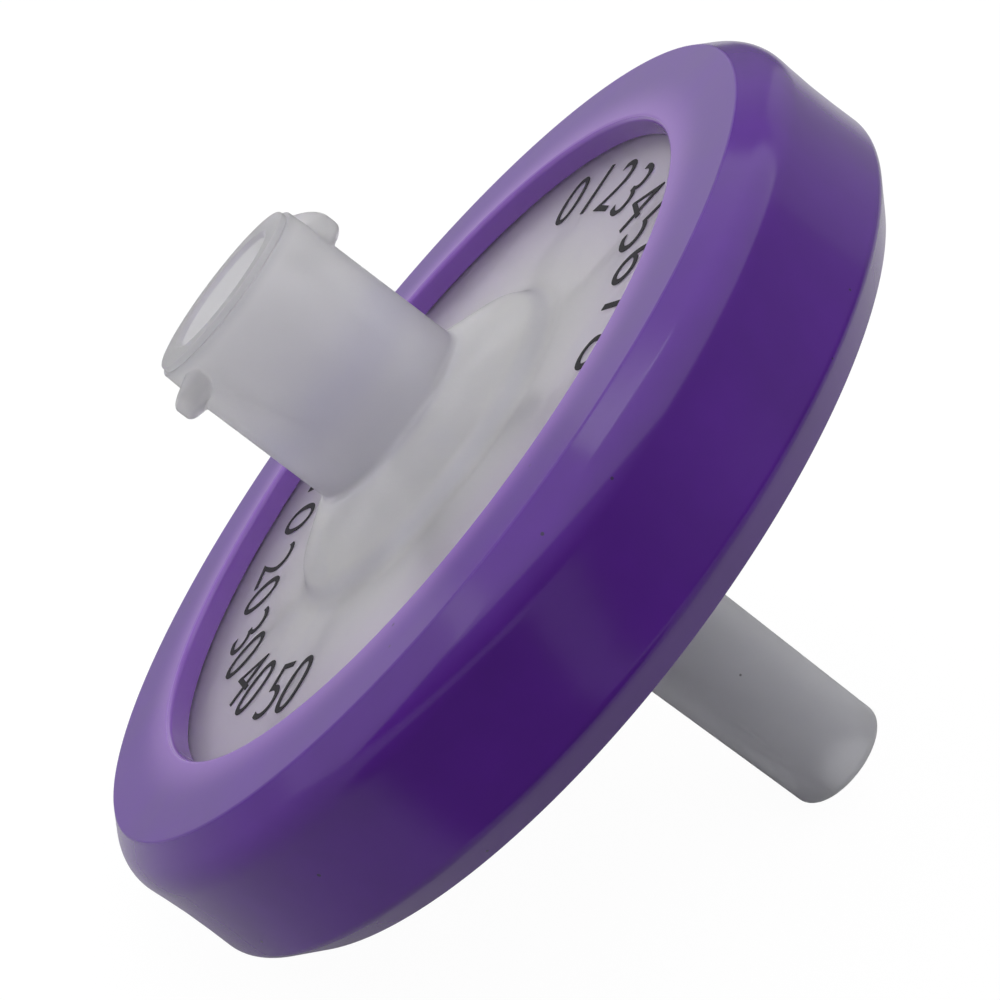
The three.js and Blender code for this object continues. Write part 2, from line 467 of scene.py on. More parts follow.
def section_mesh(name: str, points: Sequence[Vector], path_radius: float) -> bpy.types.Mesh:
    """Makes a mesh of edges from an outline, for a tree that sweeps it round the flow axis.

    Args:
        name: Name of the mesh.
        points: The outline, anticlockwise in (r, z).
        path_radius: Radius of the circle that it is swept along.

    Returns:
        The outline as edges, in the plane that the sweep reads.
    """
    mesh = bpy.data.meshes.new(name)
    vertices = [(p.x - path_radius, -p.y, 0.0) for p in reversed(points)]
    edges = [(i, (i + 1) % len(vertices)) for i in range(len(vertices))]
    mesh.from_pydata(vertices, edges, [])
    return mesh


class TurnedShape(ShapeTree):
    """Sweeps a half section round the flow axis."""

    path_radius = 10.0

    def __init__(self, name: str = "turned_shape") -> None:
        """Builds the whole tree."""
        super().__init__(name)
        self.close(self.turned())

    def turned(self) -> bpy.types.NodeSocket:
        """Sweeps the section along a circle.

        Returns:
            The turned shape.
        """
        segments = self.named("Segments", "NodeSocketInt")
        circle = self.node("GeometryNodeCurvePrimitiveCircle", Resolution=segments, Radius=self.path_radius)
        upright = self.node("GeometryNodeSetCurveNormal", {"mode": "Z_UP"}, Curve=circle.outputs["Curve"])
        section = self.node("GeometryNodeMeshToCurve", Mesh=self.entry.outputs["Section"])
        swept = self.node(
            "GeometryNodeCurveToMesh", Curve=upright.outputs[0], Profile_Curve=section.outputs[0]
        )
        return self.node("GeometryNodeSetShadeSmooth", Geometry=swept.outputs[0]).outputs[0]

    def turn(self, name: str, points: Sequence[Vector], **values: object) -> bpy.types.Mesh:
        """Turns an outline.

        Args:
            name: Name of the piece.
            points: Its outline.
            **values: The named inputs.

        Returns:
            The turned mesh, in millimetres, with its sharp edges marked.
        """
        mesh = self.grow(name, section_mesh(name, points, self.path_radius), values)
        mesh.set_sharp_from_angle(angle=SHARP_ANGLE)
        return mesh


class EaredShape(TurnedShape):
    """A turned shape whose outer wall swells into the ears of a multi-start thread.

    The wall's points are moved out along the radius, to where the ear's rounded section stands over them.
    """

    def __init__(self) -> None:
        """Builds the whole tree."""
        super().__init__("eared_shape")

    def turned(self) -> bpy.types.NodeSocket:
        """Moves the wall's points out to the ears.

        Returns:
            The turned shape with its ears.
        """
        swept = super().turned()
        place = self.node("GeometryNodeInputPosition")
        split = self.node("ShaderNodeSeparateXYZ", Vector=place.outputs[0])
        x, y, z = (Field(self, split.outputs[i]) for i in range(3))
        radius = self.math("SQRT", x * x + y * y)

        base = self.named("Ear base radius")
        crest = self.named("Ear crest radius")
        root_half = self.named("Ear root width") / 2
        crest_half = self.named("Ear crest width") / 2
        height = self.named("Ear height on its direction")
        lead = self.named("Lead")
        starts = self.named("Starts")
        direction = self.named("Direction")
        before = self.named("Degrees before")
        span = before + self.named("Degrees after")
        end_length = self.named("End degrees")
        end_height = self.named("End height")
        end_width = self.named("End width")
        blend = self.named("Foot blend")

        degrees = self.math("DEGREES", self.math("ARCTAN2", y, x))
        along = self.math("FLOORED_MODULO", degrees - direction + before, self.math("DIVIDE", 360.0, starts))
        end = (along.at_most(span - along) / end_length).at_least(0.0).at_most(1.0)
        rise = self.math("SINE", end * (math.pi / 2))
        width = end_width + self.math("SUBTRACT", 1.0, end_width) * rise
        off = self.math("ABSOLUTE", z - (height + (along - before) / 360.0 * lead)) / width
        slope = ((root_half - off) / (root_half - crest_half)).at_least(0.0).at_most(1.0)
        fall = self.math("SUBTRACT", 1.0, self.math("SQRT", slope))
        rounded = self.math("SUBTRACT", 1.0, fall * fall)
        share = (end_height + self.math("SUBTRACT", 1.0, end_height) * rise) * along.below(span)
        ear = base + (crest - base) * rounded * share

        swollen = self.math("SMOOTH_MAX", radius, ear, blend)
        outside = radius.above(base) * off.below(root_half + blend)
        factor = self.math("ADD", 1.0, (swollen / radius - 1.0) * outside)
        moved = self.node("ShaderNodeCombineXYZ", X=x * factor, Y=y * factor, Z=z)
        return self.node("GeometryNodeSetPosition", Geometry=swept, Position=moved.outputs[0]).outputs[0]


class BarCircle(ShapeTree):
    """Repeats a bar round the flow axis."""

    def __init__(self) -> None:
        """Builds the whole tree."""
        super().__init__("bar_circle")
        count = self.named("Count", "NodeSocketInt")
        first = self.named("First angle")
        step = self.named("Angle between")
        index = Field(self, self.node("GeometryNodeInputIndex").outputs[0])
        row = self.node("GeometryNodeMeshLine", Count=count, Offset=(0.0, 0.0, 0.0))
        turn = self.node("ShaderNodeCombineXYZ", Z=self.math("RADIANS", first + step * index))
        placed = self.node(
            "GeometryNodeInstanceOnPoints",
            Points=row.outputs["Mesh"],
            Instance=self.entry.outputs["Section"],
            Rotation=turn.outputs[0],
        )
        self.close(placed.outputs[0])


def block_mesh(name: str, low: Sequence[float], high: Sequence[float]) -> bpy.types.Mesh:
    """Makes a closed rectangular bar, with its faces pointing out.

    Args:
        name: Name of the mesh.
        low: Its lowest corner.
        high: Its highest corner.

    Returns:
        The bar.
    """
    mesh = bpy.data.meshes.new(name)
    vertices = [(x, y, z) for x in (low[0], high[0]) for y in (low[1], high[1]) for z in (low[2], high[2])]
    faces = [(0, 1, 3, 2), (4, 6, 7, 5), (0, 4, 5, 1), (2, 3, 7, 6), (0, 2, 6, 4), (1, 5, 7, 3)]
    mesh.from_pydata(vertices, [], faces)
    return mesh


def sector_mesh(
    name: str, radii: Sequence[float], width: float, heights: Sequence[float], gap: float, sector: float
) -> bpy.types.Mesh:
    """Makes the curved bars of one sector, one for each radius, with their faces pointing out.

    Args:
        name: Name of the mesh.
        radii: Radius of each bar's middle.
        width: Width of the bars along the radius.
        heights: Their lowest and highest z.
        gap: Width of the straight channel between two sectors.
        sector: Angle of a sector, in degrees.

    Returns:
        The bars, centred on the x axis.
    """
    steps = 12
    vertices: list[tuple] = []
    faces: list[tuple] = []
    for middle in radii:
        for i in range(steps + 1):
            a = len(vertices)
            for radius in (middle - width / 2, middle + width / 2):
                half = math.radians(sector / 2) - math.asin(gap / 2 / radius)
                angle = half * (2 * i / steps - 1)
                vertices += [(radius * math.cos(angle), radius * math.sin(angle), z) for z in heights]
            if i == steps:
                faces.append((a, a + 1, a + 3, a + 2))
                continue
            b = a + 4
            faces += [(a, a + 1, b + 1, b), (a + 2, b + 2, b + 3, a + 3)]
            faces += [(a + 1, a + 3, b + 3, b + 1), (a, b, b + 2, a + 2)]
            if i == 0:
                faces.append((a, a + 2, a + 3, a + 1))
    mesh = bpy.data.meshes.new(name)
    mesh.from_pydata(vertices, [], faces)
    return mesh


# ---------------------------------------------------------------------------------------------------------
# Finishes


class Finish:
    """A procedural finish. Subclasses are frozen dataclasses that hold its values."""

    name = "finish"
    speck_share = 0.85

    def material(self) -> bpy.types.Material:
        """Builds the material the first time that it is asked for.

        Returns:
            The material.
        """
        made = bpy.data.materials.get(self.name)
        if made is None:
            made = bpy.data.materials.new(self.name)
            made.use_nodes = True
            made.node_tree.nodes.clear()
            graph = NodeTree(made.node_tree)
            graph.node("ShaderNodeOutputMaterial", Surface=self.surface(graph))
        return made

    def surface(self, graph: NodeTree) -> bpy.types.NodeSocket:
        """Builds the shader in a tree and returns its output."""
        raise NotImplementedError

    def noise(self, graph: NodeTree, size_mm: float, detail: float = 2.0) -> Field:
        """Soft noise on Object coordinates.

        Args:
            graph: The tree.
            size_mm: Size of its features.
            detail: Number of finer layers.

        Returns:
            A value round 0.5.
        """
        place = graph.node("ShaderNodeTexCoord").outputs["Object"]
        noise = graph.node("ShaderNodeTexNoise", Vector=place, Scale=1 / (size_mm * MM), Detail=detail)
        return Field(graph, noise.outputs[0])

    def specks(self, graph: NodeTree, pitch_mm: float, radius_mm: float) -> Field:
        """Share of the specks' colour: high in a few small specks in the plastic, and 0 elsewhere.

        Args:
            graph: The tree.
            pitch_mm: Usual distance between two specks.
            radius_mm: Their radius.

        Returns:
            The share.
        """
        place = graph.node("ShaderNodeTexCoord").outputs["Object"]
        cells = graph.node("ShaderNodeTexVoronoi", Vector=place, Scale=1 / (pitch_mm * MM), Randomness=1.0)
        return Field(graph, cells.outputs["Distance"]).below(radius_mm / pitch_mm) * self.speck_share

    def tinted(self, graph: NodeTree, tone: Field, colour: Sequence[float]) -> bpy.types.NodeSocket:
        """Makes a colour lighter or darker.

        Args:
            graph: The tree.
            tone: How much lighter or darker, round 1.
            colour: Red, green and blue.

        Returns:
            The colour.
        """
        red, green, blue = (tone * channel for channel in colour)
        return graph.node("ShaderNodeCombineColor", Red=red, Green=green, Blue=blue).outputs[0]

    def round_axis(self, graph: NodeTree, place: FlowFrame) -> tuple[Field, Field]:
        """Finds where each point lies round the flow axis.

        Args:
            graph: The tree.
            place: Where the flow axis lies.

        Returns:
            Its distance from the axis and its height over the membrane, in millimetres.
        """
        spot = graph.node("ShaderNodeTexCoord").outputs["Object"]
        from_middle = graph.vector("SUBTRACT", spot, tuple(place.origin))
        height = Field(graph, graph.vector("DOT_PRODUCT", from_middle, tuple(place.axis), result="Value"))
        length = Field(graph, graph.vector("LENGTH", from_middle, result="Value"))
        radius = graph.math("SQRT", (length * length - height * height).at_least(0.0))
        return radius / MM, height / MM

    def ramp(self, graph: NodeTree, value: Field, low: float, high: float) -> Field:
        """Rises smoothly from 0 to 1 as a value goes from one end of a range to the other.

        Args:
            graph: The tree.
            value: The value.
            low: Where the result is 0.
            high: Where it is 1. It may be below low.

        Returns:
            The result.
        """
        node = graph.node(
            "ShaderNodeMapRange",
            {"interpolation_type": "SMOOTHSTEP"},
            Value=value,
            From_Min=low,
            From_Max=high,
        )
        return Field(graph, node.outputs[0])


@dataclass(frozen=True)
class Overmould(Finish):
    """Opaque purple moulded plastic: polished on its side, satin on its flat faces, with a few specks.

    Lengths are in millimetres. A pair of lengths says where an effect starts and where it is full.
    """

    place: FlowFrame
    face_height: float
    name: str = "moulded_purple"
    colour: tuple = (0.072, 0.008, 0.218)
    # The paler lip colour is painted light: a glow through the thin lip, and light from below under the heel.
    lip_glow_colour: tuple = (0.197, 0.088, 0.375)
    speck_colour: tuple = (0.020, 0.012, 0.040)
    mottle_size: float = 2.8
    mottle_detail: float = 3.0
    mottle_strength: float = 0.4
    lip_glow_fade: tuple = (14.76, 12.46)
    heel_depth: float = 1.08
    # Painted light from below on the bottom chamfer, under the heel.
    underlight_fade: float = 0.4
    underlight_share: float = 0.12
    speck_pitch: float = 1.9
    speck_radius: float = 0.06
    side_roughness: float = 0.15
    face_roughness: float = 0.36
    uneven_roughness: float = 0.06
    face_edge: tuple = (0.06, 0.01)
    relief_size: float = 0.5
    relief_strength: float = 0.06

    def surface(self, graph: NodeTree) -> bpy.types.NodeSocket:
        """Builds the overmould's shader.

        Args:
            graph: The tree.

        Returns:
            Its output.
        """
        mottled = self.noise(graph, self.mottle_size, self.mottle_detail)
        radius, height = self.round_axis(graph, self.place)
        relief = graph.node(
            "ShaderNodeBump",
            Strength=self.relief_strength,
            Distance=BUMP_DEPTH,
            Height=self.noise(graph, self.relief_size),
        )
        shader = graph.node(
            "ShaderNodeBsdfPrincipled",
            Base_Color=self.purple(graph, mottled, radius, height),
            Roughness=self.polish(graph, height) + (mottled - 0.5) * self.uneven_roughness,
            IOR=1.5,
            Specular_IOR_Level=0.4,
            Subsurface_Weight=0.30,
            Subsurface_Radius=(1.0, 0.4, 1.4),
            Subsurface_Scale=0.7 * MM,
            Normal=relief.outputs[0],
        )
        return shader.outputs[0]

    def purple(self, graph: NodeTree, mottled: Field, radius: Field, height: Field) -> bpy.types.NodeSocket:
        """The colour: mottled, with painted light on the thin lip and under the heel, and a few dark specks.

        Args:
            graph: The tree.
            mottled: The noise that makes it mottled.
            radius: Distance from the flow axis.
            height: Height over the membrane.

        Returns:
            The colour.
        """
        tone = mottled * self.mottle_strength + (1.0 - self.mottle_strength / 2)
        plain = self.tinted(graph, tone, self.colour)
        # Painted glow of light through the thin lip, and painted light from below under the heel.
        lip_glow = self.ramp(graph, radius, *self.lip_glow_fade)
        heel = self.face_height - self.heel_depth
        under = self.ramp(graph, height, -heel, -heel - self.underlight_fade) * self.underlight_share
        lit = graph.blend((lip_glow * lip_glow).at_least(under), plain, (*self.lip_glow_colour, 1.0))
        specks = self.specks(graph, self.speck_pitch, self.speck_radius)
        return graph.blend(specks, lit, (*self.speck_colour, 1.0))

    def polish(self, graph: NodeTree, height: Field) -> Field:
        """The roughness: higher on the two flat faces than on the side.

        Args:
            graph: The tree.
            height: Height over the membrane.

        Returns:
            The roughness.
        """
        start, full = (self.face_height - margin for margin in self.face_edge)
        satin = self.ramp(graph, graph.math("ABSOLUTE", height), start, full)
        return satin * (self.face_roughness - self.side_roughness) + self.side_roughness


@dataclass(frozen=True)
class NaturalPlastic(Finish):
    """Translucent, milky moulded polypropylene: light scatters in it, and what is behind shows dimly.

    Lengths are in millimetres. A pair of lengths says where a tint starts and where it is full, and a
    share says how strong it is there. Most tints are painted shade, and one is a painted reflection of the
    ring.
    """

    place: FlowFrame
    stack: "Stack"
    mouth: float
    name: str = "milky_polypropylene"
    colour: tuple = (0.85, 0.84, 0.85)
    # Painted shade of the socket seen through the port's thick wall, painted shade on the boss's step, and
    # wisps.
    blue_shade_and_wisp: tuple = (0.66, 0.65, 0.80)
    # Painted shade in the socket, painted shadow of the ring on the slip, and a darker rim on the mouth.
    shade_and_rim_grey: tuple = (0.57, 0.57, 0.60)
    # Painted reflection of the purple ring, and painted shade, on the face near the ring's wall.
    ring_reflection_lilac: tuple = (0.70, 0.60, 0.84)
    dust_colour: tuple = (0.05, 0.05, 0.05)
    see_through: float = 0.74
    scatter_mm: float = 8.0
    roughness: float = 0.40
    face_roughness: float = 0.33
    uneven_roughness: float = 0.08
    face_margin: tuple = (0.2, 1.0)
    relief_size: float = 0.4
    relief_strength: float = 0.05
    cloud_size: float = 2.2
    cloud_strength: float = 0.12
    wisp_size: float = 3.0
    wisp_edge: tuple = (0.50, 0.66)
    wisp_share: float = 0.26
    port_edge: tuple = (3.8, 3.4)
    port_foot: float = 4.2
    thick_wall: tuple = (7.7, 6.2)
    thick_wander: float = 1.6
    thick_wall_shade_share: float = 0.62
    paler_foot: tuple = (5.9, 5.0)
    paler_share: float = 0.5
    step_width: float = 0.45
    step_shade_share: float = 0.45
    socket_radius: float = 2.4
    socket_floor: float = 3.0
    socket_shade_share: float = 0.8
    rim_depth: tuple = (0.6, 0.15)
    rim_radius: float = 3.4
    rim_share: float = 0.85
    slip_shadow: tuple = (-4.0, -6.5)
    ring_reflection_reach: tuple = (5.8, 12.2)
    dust_pitch: float = 4.0
    dust_radius: float = 0.045

    def surface(self, graph: NodeTree) -> bpy.types.NodeSocket:
        """Builds the polypropylene's shader.

        Args:
            graph: The tree.

        Returns:
            Its output.
        """
        cloudy = self.noise(graph, self.cloud_size)
        radius, height = self.round_axis(graph, self.place)
        relief = graph.node(
            "ShaderNodeBump",
            Strength=self.relief_strength,
            Distance=BUMP_DEPTH,
            Height=self.noise(graph, self.relief_size),
        )
        shader = graph.node(
            "ShaderNodeBsdfPrincipled",
            Base_Color=self.milk(graph, cloudy, radius, height),
            Roughness=(cloudy - 0.5) * self.uneven_roughness + self.polish(graph, radius),
            IOR=1.49,
            Transmission_Weight=self.see_through,
            Subsurface_Weight=1.0,
            Subsurface_Radius=(1.0, 1.0, 1.08),
            Subsurface_Scale=self.scatter_mm * MM,
            Normal=relief.outputs[0],
        )
        return shader.outputs[0]

    def polish(self, graph: NodeTree, radius: Field) -> Field:
        """The roughness: lower on the flat of the face than on the boss and the port.

        Args:
            graph: The tree.
            radius: Distance from the flow axis.

        Returns:
            The roughness.
        """
        start, full = (self.stack.boss_radius + margin for margin in self.face_margin)
        flat = self.ramp(graph, radius, start, full)
        return flat * (self.face_roughness - self.roughness) + self.roughness

    def milk(self, graph: NodeTree, cloudy: Field, radius: Field, height: Field) -> bpy.types.NodeSocket:
        """The colour: milky, with wisps, painted shade, a painted ring reflection and dust laid over each
        other.

        Args:
            graph: The tree.
            cloudy: The noise that makes it cloudy.
            radius: Distance from the flow axis.
            height: Height over the membrane.

        Returns:
            The colour.
        """
        tone = cloudy * self.cloud_strength + (1.0 - self.cloud_strength / 2)
        plain = self.tinted(graph, tone, self.colour)
        # Painted shade first, then the painted reflection of the ring near its wall.
        tinged = graph.blend(self.shade_and_wisp_share(graph, radius, height), plain, (*self.blue_shade_and_wisp, 1.0))
        dimmed = graph.blend(self.shade_and_rim_share(graph, radius, height), tinged, (*self.shade_and_rim_grey, 1.0))
        # Painted reflection of the purple ring and painted shade near its wall.
        ring_reflected = graph.blend(self.ramp(graph, radius, *self.ring_reflection_reach), dimmed, (*self.ring_reflection_lilac, 1.0))
        dust = self.specks(graph, self.dust_pitch, self.dust_radius)
        return graph.blend(dust, ring_reflected, (*self.dust_colour, 1.0))

    def shade_and_wisp_share(self, graph: NodeTree, radius: Field, height: Field) -> Field:
        """Share of the blue tint: painted shade where the port's wall is thick and on the boss's step, and
        wisps.

        Args:
            graph: The tree.
            radius: Distance from the flow axis.
            height: Height over the membrane.

        Returns:
            The share.
        """
        wisps = self.noise(graph, self.wisp_size, 1.0)
        # Painted shade of the socket seen through the milky wall, where the wall is also thicker; paler at
        # the port's foot.
        wavy = height + (wisps - 0.5) * self.thick_wander
        paler = self.ramp(graph, height, *self.paler_foot) * self.paler_share
        thick = self.ramp(graph, wavy, *self.thick_wall) * graph.math("SUBTRACT", 1.0, paler)
        on_port = self.ramp(graph, radius, *self.port_edge)
        # Painted shade along the boss's step.
        from_step = graph.math("ABSOLUTE", radius - self.stack.boss_radius)
        step = self.ramp(graph, from_step, self.step_width, 0.0)
        on_face = self.ramp(graph, wisps, *self.wisp_edge) * radius.above(self.port_foot)
        thick_wall_shade = thick * on_port * self.thick_wall_shade_share
        return thick_wall_shade.at_least(step * self.step_shade_share).at_least(on_face * self.wisp_share)

    def shade_and_rim_share(self, graph: NodeTree, radius: Field, height: Field) -> Field:
        """Share of the grey tint: painted shade in the socket and on the slip, and a darker rim on its mouth.

        Args:
            graph: The tree.
            radius: Distance from the flow axis.
            height: Height over the membrane.

        Returns:
            The share.
        """
        # Painted shade in the socket and painted shadow of the ring on the slip; the mouth's rim is darker
        # too.
        shaded_socket = radius.below(self.socket_radius) * height.above(self.socket_floor) * self.socket_shade_share
        start, full = (self.mouth - depth for depth in self.rim_depth)
        rim = self.ramp(graph, height, start, full) * radius.below(self.rim_radius) * self.rim_share
        return self.ramp(graph, height, *self.slip_shadow).at_least(rim).at_least(shaded_socket)


@dataclass(frozen=True)
class MilkierPlastic(NaturalPlastic):
    """The same polypropylene on the outlet, where less light gets through."""

    name: str = "milkier_polypropylene"
    see_through: float = 0.5
    scatter_mm: float = 2.0


@dataclass(frozen=True)
class MembraneSheet(Finish):
    """Matt white porous sheet."""

    name: str = "porous_sheet"
    colour: tuple = (0.84, 0.84, 0.83)
    pore_size: float = 0.12
    pore_detail: float = 4.0
    pore_strength: float = 0.10

    def surface(self, graph: NodeTree) -> bpy.types.NodeSocket:
        """Builds the membrane's shader.

        Args:
            graph: The tree.

        Returns:
            Its output.
        """
        pores = self.noise(graph, self.pore_size, self.pore_detail)
        tone = pores * self.pore_strength + (1.0 - self.pore_strength / 2)
        white = self.tinted(graph, tone, self.colour)
        relief = graph.node("ShaderNodeBump", Strength=0.3, Distance=BUMP_DEPTH, Height=pores)
        shader = graph.node(
            "ShaderNodeBsdfPrincipled", Base_Color=white, Roughness=0.85, Normal=relief.outputs[0]
        )
        return shader.outputs[0]


@dataclass(frozen=True)
class Ink(Finish):
    """Dark grey pad-printed ink, a little uneven."""

    name: str = "printed_ink"
    colour: tuple = (0.014, 0.013, 0.016)
    patch_size: float = 0.15
    patch_detail: float = 3.0
    thinnest: float = 0.6
    patch_strength: float = 0.8

    def surface(self, graph: NodeTree) -> bpy.types.NodeSocket:
        """Builds the ink's shader.

        Args:
            graph: The tree.

        Returns:
            Its output.
        """
        patches = self.noise(graph, self.patch_size, self.patch_detail)
        grey = self.tinted(graph, patches * self.patch_strength + self.thinnest, self.colour)
        shader = graph.node(
            "ShaderNodeBsdfPrincipled", Base_Color=grey, Roughness=0.6, Specular_IOR_Level=0.08
        )
        return shader.outputs[0]


@dataclass(frozen=True)
class StudioCard(Finish):
    """Pale card with a painted grey shadow in front. The camera sees it nearly white, with a faint shadow on
    it.

    Attributes:
        name: The material's name.
        grey: Colour of the patch, which is painted shade.
        pale: Colour of the card.
        patch_middle: Middle of the patch in the row frame, in metres.
        patch_edge: Distances from there where the patch starts to fade and where it ends, in millimetres.
        white_level: Brightness of the plain white, where 1 is white.
        whitening: Share of the plain white that the camera sees.
        through_plastic: Share of it that is seen through plastic.
        in_gloss: Share of it that is seen in a reflection.
    """

    name: str = "studio_card"
    grey: tuple = (0.11, 0.11, 0.11)
    pale: tuple = (0.50, 0.50, 0.50)
    patch_middle: tuple = (5.0 * MM, -62.0 * MM, 0.0)
    patch_edge: tuple = (33.5, 39.0)
    white_level: float = 1.05
    whitening: float = 0.92
    through_plastic: float = 0.80
    in_gloss: float = 0.06

    def surface(self, graph: NodeTree) -> bpy.types.NodeSocket:
        """Builds the card's shader.

        Args:
            graph: The tree.

        Returns:
            Its output.
        """
        rays = graph.node("ShaderNodeLightPath")
        seen = Field(graph, rays.outputs["Is Camera Ray"]) * self.whitening
        through = Field(graph, rays.outputs["Is Transmission Ray"]) * self.through_plastic
        mirrored = Field(graph, rays.outputs["Is Glossy Ray"]) * self.in_gloss
        spot = graph.node("ShaderNodeTexCoord").outputs["Object"]
        # The grey patch in front is painted shade, which the filter reflects.
        away = Field(graph, graph.vector("DISTANCE", spot, self.patch_middle, result="Value")) / MM
        tone = graph.blend(self.ramp(graph, away, *self.patch_edge), (*self.grey, 1.0), (*self.pale, 1.0))
        card = graph.node("ShaderNodeBsdfDiffuse", Color=tone)
        white = graph.node("ShaderNodeEmission", Color=WHITE, Strength=self.white_level)
        mix = graph.node("ShaderNodeMixShader")
        graph.feed(mix.inputs[0], seen.at_least(through).at_least(mirrored))
        graph.feed(mix.inputs[1], card.outputs[0])
        graph.feed(mix.inputs[2], white.outputs[0])
        return mix.outputs[0]


# ---------------------------------------------------------------------------------------------------------
# Sub-assemblies


def dress(mesh: bpy.types.Mesh, finish: Finish, place: FlowFrame) -> bpy.types.Object:
    """Lays a drawn mesh into the row frame and makes it a piece of the filter.

    Args:
        mesh: The mesh, in millimetres round the flow axis.
        finish: Its finish.
        place: Where the flow axis lies.

    Returns:
        The piece, at the origin, with its place in its mesh.
    """
    mesh.transform(place.matrix())
    mesh.materials.clear()
    mesh.materials.append(finish.material())
    piece = bpy.data.objects.new(mesh.name, mesh)
    bpy.context.scene.collection.objects.link(piece)
    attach(piece, BODY)
    LOG.info("%s: %d faces", piece.name, len(mesh.polygons))
    return piece


@dataclass
class Stack:
    """Sizes across the flanges, shared by every piece, in millimetres."""

    flange_radius: float = 15.0
    weld_land: float = 1.7
    clamp_width: float = 1.0
    chamber_half_depth: float = 0.91
    face_wall: float = 1.2
    mould_gap: float = 0.04
    seam_gap: float = 0.04
    clamp_gap: float = 0.02
    membrane_thickness: float = 0.16
    tongue_width: float = 0.6
    tongue_height: float = 0.6
    ring_lip: float = 0.82
    boss_radius: float = 6.0
    boss_step: float = 0.55
    boss_draft: float = 0.25
    boss_fillet: float = 0.8
    boss_crown_height: float = 1.6

    @property
    def face(self) -> float:
        """Height of a housing's outer face."""
        return self.chamber_half_depth + self.face_wall

    @property
    def ring_top(self) -> float:
        """Height of the ring's flat face."""
        return self.face + self.mould_gap + self.ring_lip

    @property
    def seat_radius(self) -> float:
        """Radius of the membrane's seat."""
        return self.flange_radius - self.weld_land + self.clamp_gap

    @property
    def chamber_radius(self) -> float:
        """Inner radius of the chamber."""
        return self.flange_radius - self.weld_land - self.clamp_width

    @property
    def tongue_middle(self) -> float:
        """Radius of the weld tongue's centre line."""
        return self.flange_radius - self.weld_land / 2

    @property
    def seam(self) -> float:
        """Half of the gap between the two housings."""
        return self.seam_gap / 2

    @property
    def clamp(self) -> float:
        """Height of a housing's clamping face."""
        return self.membrane_thickness / 2 + self.clamp_gap


@dataclass
class Ring:
    """The overmoulded ring. Sizes in millimetres."""

    stack: Stack
    place: FlowFrame
    side_wall: float = 1.46
    heel_flare: float = 0.08
    lip_reach: float = 2.48
    top_chamfer: tuple = (0.98, 0.95)
    bottom_chamfer: tuple = (0.92, 1.08)
    shoulder_fillet: float = 1.3
    heel_fillet: float = 0.45
    edge_fillet: float = 0.10
    waist_depth: float = 0.08
    waist_radius: float = 22.0
    window_fillet: float = 0.2
    segments: int = 288

    def outline(self) -> Outline:
        """Works out the ring's half section.

        Returns:
            The half section.
        """
        top, pocket_top = self.stack.ring_top, self.stack.face + self.stack.mould_gap
        pocket = self.stack.flange_radius + self.stack.mould_gap
        window = pocket - self.lip_reach
        shoulder = pocket + self.side_wall
        heel = shoulder + self.heel_flare
        shoulder_height = top - self.top_chamfer[1]
        heel_height = -top + self.bottom_chamfer[1]
        waist = (shoulder + heel) / 2 - self.waist_depth
        return Outline(
            [
                Corner(window, -top, self.window_fillet),
                Corner(heel - self.bottom_chamfer[0], -top, self.edge_fillet),
                Corner(heel, heel_height, self.heel_fillet),
                Corner(waist, (shoulder_height + heel_height) / 2, self.waist_radius),
                Corner(shoulder, shoulder_height, self.shoulder_fillet),
                Corner(shoulder - self.top_chamfer[0], top, self.edge_fillet),
                Corner(window, top, self.window_fillet),
                Corner(window, pocket_top),
                Corner(pocket, pocket_top),
                Corner(pocket, -pocket_top),
                Corner(window, -pocket_top),
            ],
            arc_step=6.0,
            longest=0.8,
        )

    def build(self) -> bpy.types.Object:
        """Builds and dresses the ring.

        Returns:
            The ring.
        """
        mesh = TurnedShape().turn("moulded_ring", self.outline().points(), Segments=self.segments)
        piece = dress(mesh, Overmould(self.place, self.stack.ring_top), self.place)
        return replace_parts(piece, "overmould_ring")


